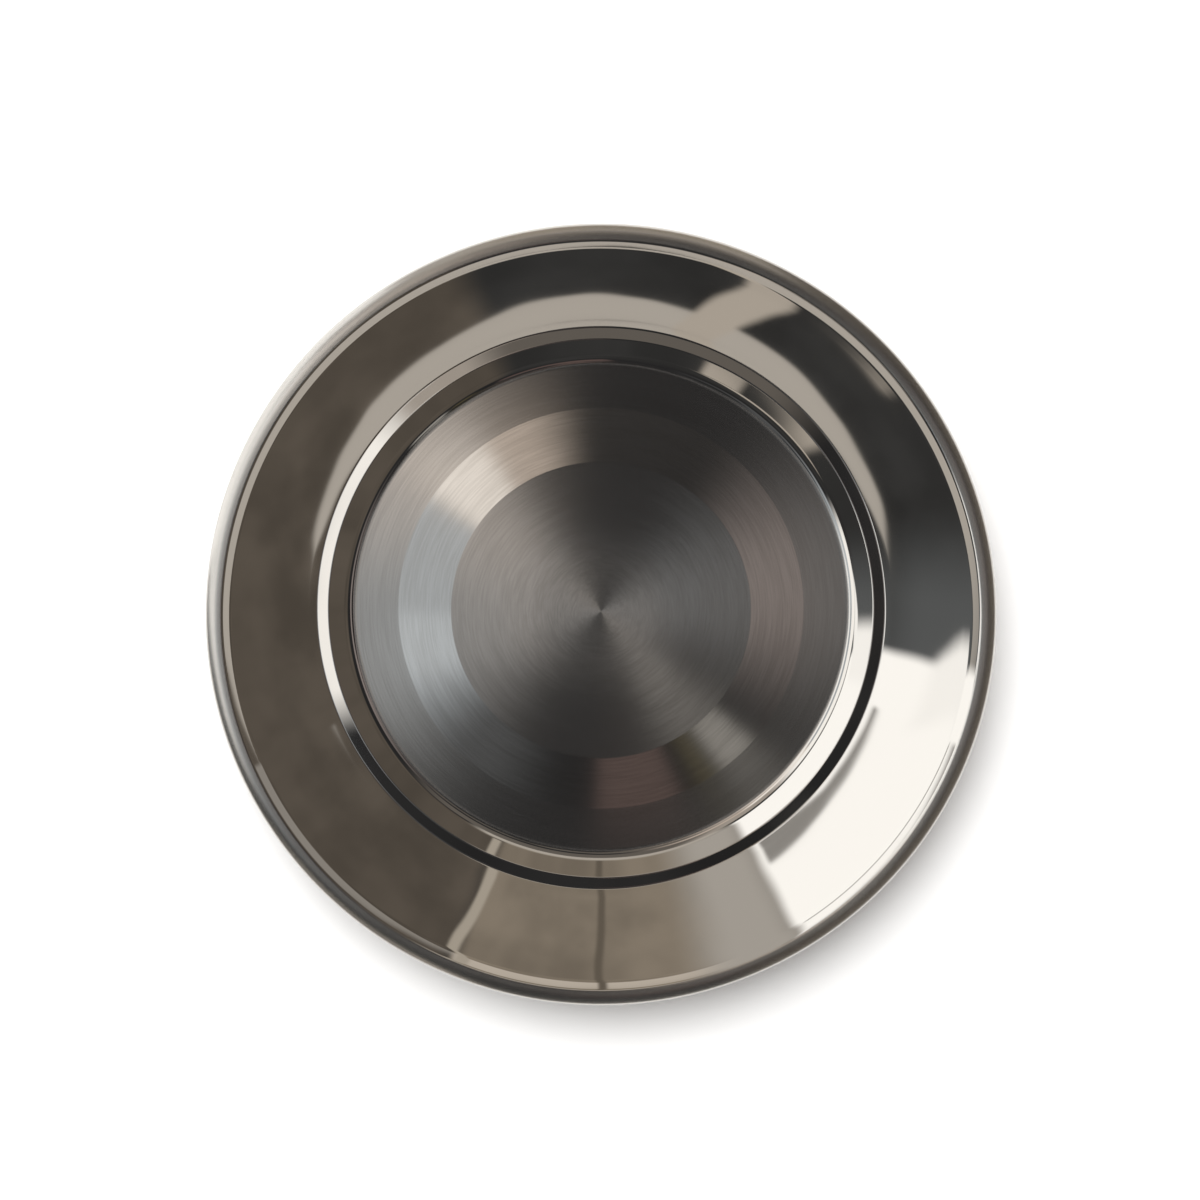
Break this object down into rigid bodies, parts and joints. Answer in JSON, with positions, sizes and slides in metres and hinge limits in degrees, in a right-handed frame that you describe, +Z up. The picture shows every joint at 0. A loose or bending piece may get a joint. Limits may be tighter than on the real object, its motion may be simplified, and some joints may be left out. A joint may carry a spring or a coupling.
{
  "type": "pet bowl",
  "caption": "Shallow round steel pet bowl with a raised brushed floor, a flared polished wall, a rolled rim and a non-slip rubber ring round its base.",
  "frame": {"origin": "centre of the flat foot of the base ring, on the surface that the bowl stands on", "axes": "+Z up along the bowl's axis, out of its mouth; X and Y lie in the table plane, and their direction is free because the bowl is round"},
  "size_m": [0.16, 0.16, 0.0231],
  "materials": {
    "stainless_steel": "mirror polished wall and rim, circular brushed satin floor",
    "rubber": "matt black, moulded"
  },
  "bodies": {
    "root": {"bowl_shell": "stainless_steel", "base_ring": "rubber"}
  },
  "joints": []
}
